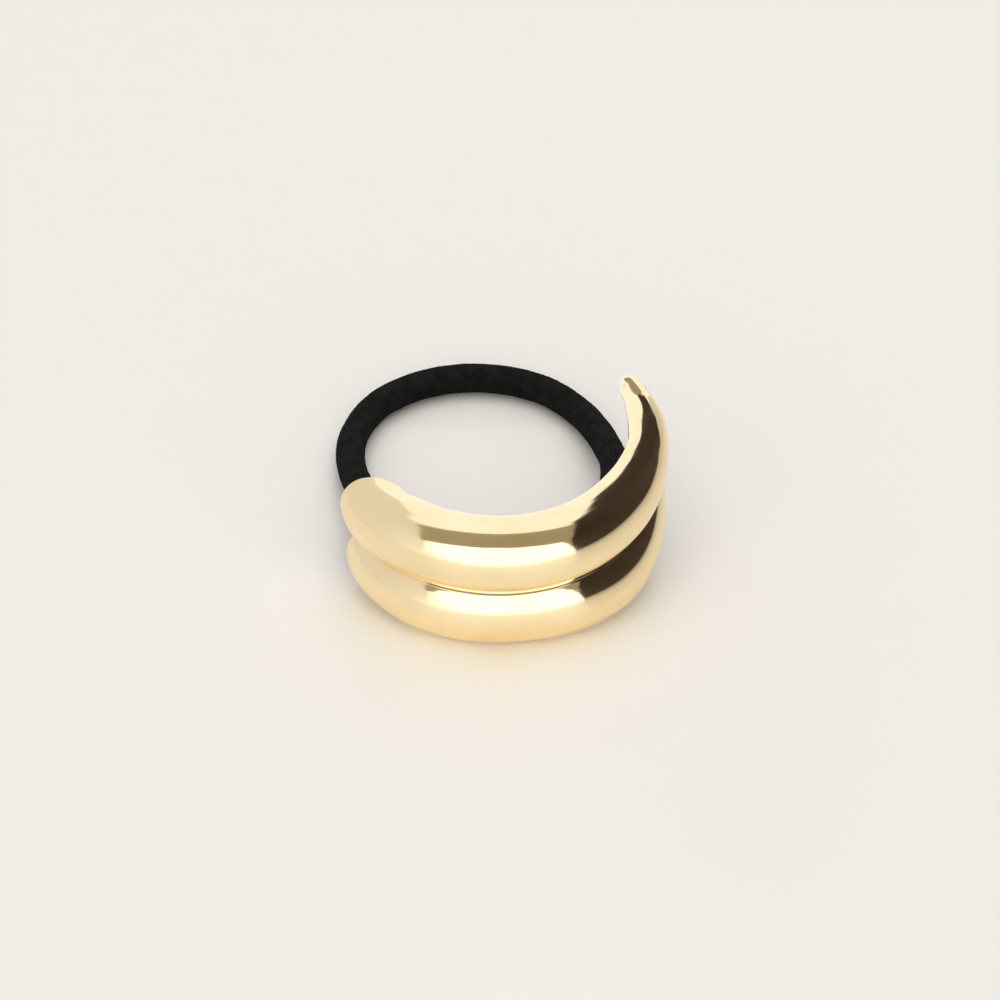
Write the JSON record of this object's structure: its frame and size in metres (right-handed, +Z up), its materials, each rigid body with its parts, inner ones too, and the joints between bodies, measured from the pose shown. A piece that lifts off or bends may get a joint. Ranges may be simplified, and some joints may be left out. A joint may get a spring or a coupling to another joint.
{
  "type": "ponytail cuff",
  "caption": "C-shaped polished gold hair cuff of stacked fat round ribs, blunt at one end and rising to a rounded horn at the other, on a black fabric-covered elastic loop.",
  "frame": {"origin": "on the surface that it lies on, where the axis that the cuff curves round meets it", "axes": "+X to the horn's side, +Y from the front of the cuff towards the elastic loop, +Z up along the axis of the cuff"},
  "size_m": [0.0485, 0.067, 0.0214],
  "materials": {
    "cuff_metal": "polished gold plate on a zinc alloy casting",
    "elastic_cover": "matt braided cover, slightly fuzzy",
    "crimp_metal": "plain drawn metal"
  },
  "bodies": {
    "root": {"cuff": "cuff_metal", "elastic_loop": "elastic_cover", "elastic_crimp": "crimp_metal"}
  },
  "joints": []
}
